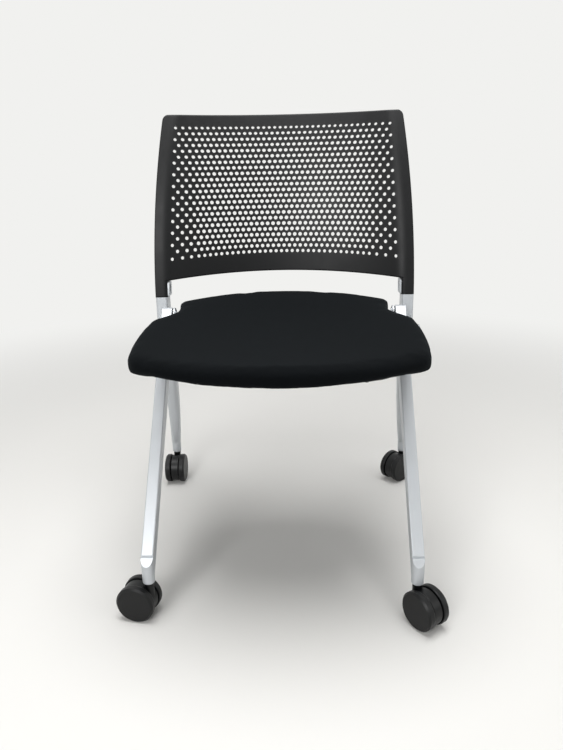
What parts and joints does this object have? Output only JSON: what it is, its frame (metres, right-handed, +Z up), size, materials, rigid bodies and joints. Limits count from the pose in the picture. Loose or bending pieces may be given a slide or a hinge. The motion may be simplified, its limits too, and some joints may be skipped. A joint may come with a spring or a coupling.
{
  "type": "nesting chair",
  "caption": "Armless nesting chair: flip-up padded seat, perforated moulded backrest, two die-cast side frames and twin-wheel casters.",
  "frame": {"origin": "on the floor, on the centre plane, midway between the front and the rear caster stems", "axes": "+Z up, +X to the sitter's left, the chair faces -Y"},
  "size_m": [0.5751, 0.5794, 0.802],
  "materials": {
    "silver_paint": "satin silver powder coat on die-cast metal",
    "silver_tube": "satin silver powder coat on steel tube",
    "aluminium_plug": "machined",
    "zinc_steel": "zinc plated",
    "black_steel": "black coating",
    "nylon": "moulded",
    "back_plastic": "satin black moulding",
    "seat_fabric": "black woven upholstery over foam",
    "plywood": "raw",
    "pan_plastic": "fine grained moulding",
    "pad_rubber": "matt",
    "caster_plastic": "satin moulding",
    "wheel_plastic": "moulded, soft tread"
  },
  "bodies": {
    "frame": {"front_leg_right": "silver_paint", "front_leg_left": "silver_paint", "rear_frame_right": "silver_paint", "rear_frame_left": "silver_paint", "cross_tube": "silver_tube", "tube_plugs": "aluminium_plug", "tube_bolts": "zinc_steel", "lug_bolts": "zinc_steel", "pivot_pins": "zinc_steel", "pivot_clips": "zinc_steel", "back_screws": "black_steel", "caster_sockets": "nylon", "caster_stems": "zinc_steel", "backrest": "back_plastic"},
    "seat": {"seat_cushion": "seat_fabric", "seat_board": "plywood", "seat_pan": "pan_plastic", "hinge_bracket_right": "black_steel", "hinge_bracket_left": "black_steel", "hinge_bushes": "nylon", "pan_screws": "black_steel", "bracket_screws": "black_steel", "rest_pads": "pad_rubber"},
    "front_right_caster": {"front_right_hood": "caster_plastic", "front_right_axle": "zinc_steel"},
    "front_right_wheel_a": {"front_right_wheel_a": "wheel_plastic"},
    "front_right_wheel_b": {"front_right_wheel_b": "wheel_plastic"},
    "front_left_caster": {"front_left_hood": "caster_plastic", "front_left_axle": "zinc_steel"},
    "front_left_wheel_a": {"front_left_wheel_a": "wheel_plastic"},
    "front_left_wheel_b": {"front_left_wheel_b": "wheel_plastic"},
    "rear_right_caster": {"rear_right_hood": "caster_plastic", "rear_right_axle": "zinc_steel"},
    "rear_right_wheel_a": {"rear_right_wheel_a": "wheel_plastic"},
    "rear_right_wheel_b": {"rear_right_wheel_b": "wheel_plastic"},
    "rear_left_caster": {"rear_left_hood": "caster_plastic", "rear_left_axle": "zinc_steel"},
    "rear_left_wheel_a": {"rear_left_wheel_a": "wheel_plastic"},
    "rear_left_wheel_b": {"rear_left_wheel_b": "wheel_plastic"}
  },
  "joints": [
    {"name": "seat_flip", "type": "hinge", "parent": "frame", "child": "seat", "pos_m": [0, 0.039, 0.445], "axis": [-1, 0, 0], "range_deg": [0, 100]},
    {"name": "front_right_swivel", "type": "hinge", "parent": "frame", "child": "front_right_caster", "pos_m": [-0.2163, -0.251, 0.055], "axis": [0, 0, 1], "continuous": true},
    {"name": "front_right_spin_a", "type": "hinge", "parent": "front_right_caster", "child": "front_right_wheel_a", "pos_m": [-0.23597, -0.24735, 0.032], "axis": [-0.1822, -0.9833, 0], "continuous": true},
    {"name": "front_right_spin_b", "type": "hinge", "parent": "front_right_caster", "child": "front_right_wheel_b", "pos_m": [-0.23597, -0.24735, 0.032], "axis": [-0.1822, -0.9833, 0], "continuous": true},
    {"name": "front_left_swivel", "type": "hinge", "parent": "frame", "child": "front_left_caster", "pos_m": [0.2163, -0.251, 0.055], "axis": [0, 0, 1], "continuous": true},
    {"name": "front_left_spin_a", "type": "hinge", "parent": "front_left_caster", "child": "front_left_wheel_a", "pos_m": [0.22774, -0.2674, 0.032], "axis": [0.8202, 0.5721, 0], "continuous": true},
    {"name": "front_left_spin_b", "type": "hinge", "parent": "front_left_caster", "child": "front_left_wheel_b", "pos_m": [0.22774, -0.2674, 0.032], "axis": [0.8202, 0.5721, 0], "continuous": true},
    {"name": "rear_right_swivel", "type": "hinge", "parent": "frame", "child": "rear_right_caster", "pos_m": [-0.2657, 0.251, 0.055], "axis": [0, 0, 1], "continuous": true},
    {"name": "rear_right_spin_a", "type": "hinge", "parent": "rear_right_caster", "child": "rear_right_wheel_a", "pos_m": [-0.26549, 0.231, 0.032], "axis": [0.9999, 0.0105, 0], "continuous": true},
    {"name": "rear_right_spin_b", "type": "hinge", "parent": "rear_right_caster", "child": "rear_right_wheel_b", "pos_m": [-0.26549, 0.231, 0.032], "axis": [0.9999, 0.0105, 0], "continuous": true},
    {"name": "rear_left_swivel", "type": "hinge", "parent": "frame", "child": "rear_left_caster", "pos_m": [0.2657, 0.251, 0.055], "axis": [0, 0, 1], "continuous": true},
    {"name": "rear_left_spin_a", "type": "hinge", "parent": "rear_left_caster", "child": "rear_left_wheel_a", "pos_m": [0.25084, 0.23762, 0.032], "axis": [0.6691, -0.7431, 0], "continuous": true},
    {"name": "rear_left_spin_b", "type": "hinge", "parent": "rear_left_caster", "child": "rear_left_wheel_b", "pos_m": [0.25084, 0.23762, 0.032], "axis": [0.6691, -0.7431, 0], "continuous": true}
  ]
}
